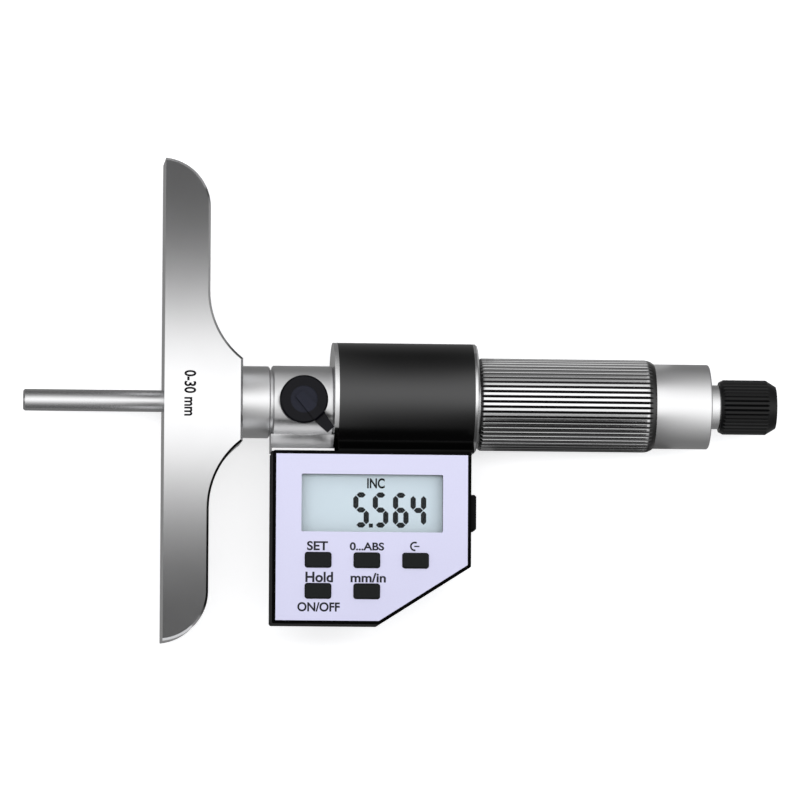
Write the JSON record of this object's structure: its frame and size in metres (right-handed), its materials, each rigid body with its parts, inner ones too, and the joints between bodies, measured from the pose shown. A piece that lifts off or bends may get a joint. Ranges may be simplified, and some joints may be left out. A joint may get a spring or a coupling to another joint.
{
  "type": "depth micrometer",
  "caption": "Digital depth micrometer: T-shaped measuring base with a projecting rod, fluted thimble with ratchet, encoder barrel, lock lever and side display with buttons.",
  "frame": {"origin": "centre of the base's measuring face, on the spindle's axis", "axes": "+X along the spindle, away from the measuring face and towards the ratchet; +Y along the base, away from the display; +Z out of the display"},
  "size_m": [0.1592, 0.1016, 0.023],
  "materials": {
    "satin_chrome": "satin chrome plating on steel",
    "ground_steel": "ground and hardened steel",
    "spring_steel": "bright spring steel",
    "brass": "turned brass",
    "black_lacquer": "black lacquer, satin",
    "black_anodised": "black anodised",
    "black_screw": "blackened steel",
    "housing_plastic": "black moulding, fine matt",
    "face_film": "pale lavender printed film",
    "dark_plastic": "dark moulding",
    "button_plastic": "black matt moulding",
    "black_rubber": "black rubber",
    "grey_rubber": "soft grey rubber",
    "clear_window": "clear window",
    "display_glass": "pale grey-green display",
    "board": "green circuit board",
    "ribbon_film": "amber film",
    "cell_can": "bright steel can"
  },
  "bodies": {
    "frame": {"measuring_base": "satin_chrome", "stem_collar": "satin_chrome", "clamp_body": "satin_chrome", "lock_washer": "ground_steel", "lock_shoe": "brass", "encoder_stator": "board", "stator_holder": "dark_plastic", "encoder_ribbon": "ribbon_film", "ribbon_socket": "dark_plastic", "inner_sleeve": "ground_steel", "outer_sleeve": "satin_chrome", "adjusting_nut": "ground_steel", "front_plate": "satin_chrome", "encoder_cover": "black_lacquer", "cover_end_ring": "satin_chrome", "housing_front": "housing_plastic", "housing_back": "housing_plastic", "face_panel": "face_film", "display_window": "clear_window", "display_module": "display_glass", "contact_strip_upper": "grey_rubber", "contact_strip_lower": "grey_rubber", "circuit_board": "board", "keypad_mat": "grey_rubber", "coin_cell": "cell_can", "battery_contact": "spring_steel", "data_connector": "dark_plastic", "housing_screws": "black_screw", "foot_screws": "black_screw"},
    "rotor": {"quill": "ground_steel", "drive_key": "ground_steel", "encoder_rotor": "board"},
    "spindle_unit": {"spindle": "ground_steel", "measuring_rod": "ground_steel", "rod_nut": "ground_steel", "rod_washer": "ground_steel", "thimble": "satin_chrome", "thimble_cap": "satin_chrome", "ratchet_shaft": "ground_steel", "ratchet_wheel": "ground_steel", "knob_screw": "black_screw"},
    "ratchet": {"ratchet_knob": "black_anodised", "pawl_ring": "ground_steel", "ratchet_spring": "spring_steel"},
    "lock": {"lock_lever": "black_anodised", "lock_stud": "ground_steel"},
    "button_set": {"button_set": "button_plastic"},
    "button_abs": {"button_abs": "button_plastic"},
    "button_send": {"button_send": "button_plastic"},
    "button_hold": {"button_hold": "button_plastic"},
    "button_unit": {"button_unit": "button_plastic"},
    "battery_cap": {"battery_cap": "dark_plastic"},
    "port_cover": {"port_cover": "black_rubber"}
  },
  "joints": [
    {"name": "thimble_turn", "type": "hinge", "parent": "frame", "child": "rotor", "pos_m": [0.05, 0, 0], "axis": [1, 0, 0], "range_deg": [0, 21600]},
    {"name": "rod_travel", "type": "slide", "parent": "rotor", "child": "spindle_unit", "axis": [1, 0, 0], "range_m": [0, 0.03]},
    {"name": "ratchet_turn", "type": "hinge", "parent": "spindle_unit", "child": "ratchet", "pos_m": [0.12, 0, 0], "axis": [1, 0, 0], "continuous": true},
    {"name": "lock_turn", "type": "hinge", "parent": "frame", "child": "lock", "pos_m": [0.0292, 0, 0.009], "axis": [0, 0, 1], "range_deg": [-60, 0]},
    {"name": "battery_cap_turn", "type": "hinge", "parent": "frame", "child": "battery_cap", "pos_m": [0.0376, -0.0302, -0.001], "axis": [0, 0, 1], "range_deg": [0, 45]},
    {"name": "port_cover_pull", "type": "slide", "parent": "frame", "child": "port_cover", "axis": [1, 0, 0], "range_m": [0, 0.005]},
    {"name": "button_set_press", "type": "slide", "parent": "frame", "child": "button_set", "axis": [0, 0, -1], "range_m": [0, 0.0004], "stiffness_N_per_m": 2000, "springref_m": -0.0001},
    {"name": "button_abs_press", "type": "slide", "parent": "frame", "child": "button_abs", "axis": [0, 0, -1], "range_m": [0, 0.0004], "stiffness_N_per_m": 2000, "springref_m": -0.0001},
    {"name": "button_send_press", "type": "slide", "parent": "frame", "child": "button_send", "axis": [0, 0, -1], "range_m": [0, 0.0004], "stiffness_N_per_m": 2000, "springref_m": -0.0001},
    {"name": "button_hold_press", "type": "slide", "parent": "frame", "child": "button_hold", "axis": [0, 0, -1], "range_m": [0, 0.0004], "stiffness_N_per_m": 2000, "springref_m": -0.0001},
    {"name": "button_unit_press", "type": "slide", "parent": "frame", "child": "button_unit", "axis": [0, 0, -1], "range_m": [0, 0.0004], "stiffness_N_per_m": 2000, "springref_m": -0.0001}
  ],
  "couplings": [
    {"joint": "thimble_turn", "follows": "rod_travel", "rad_per_m": 12566}
  ]
}
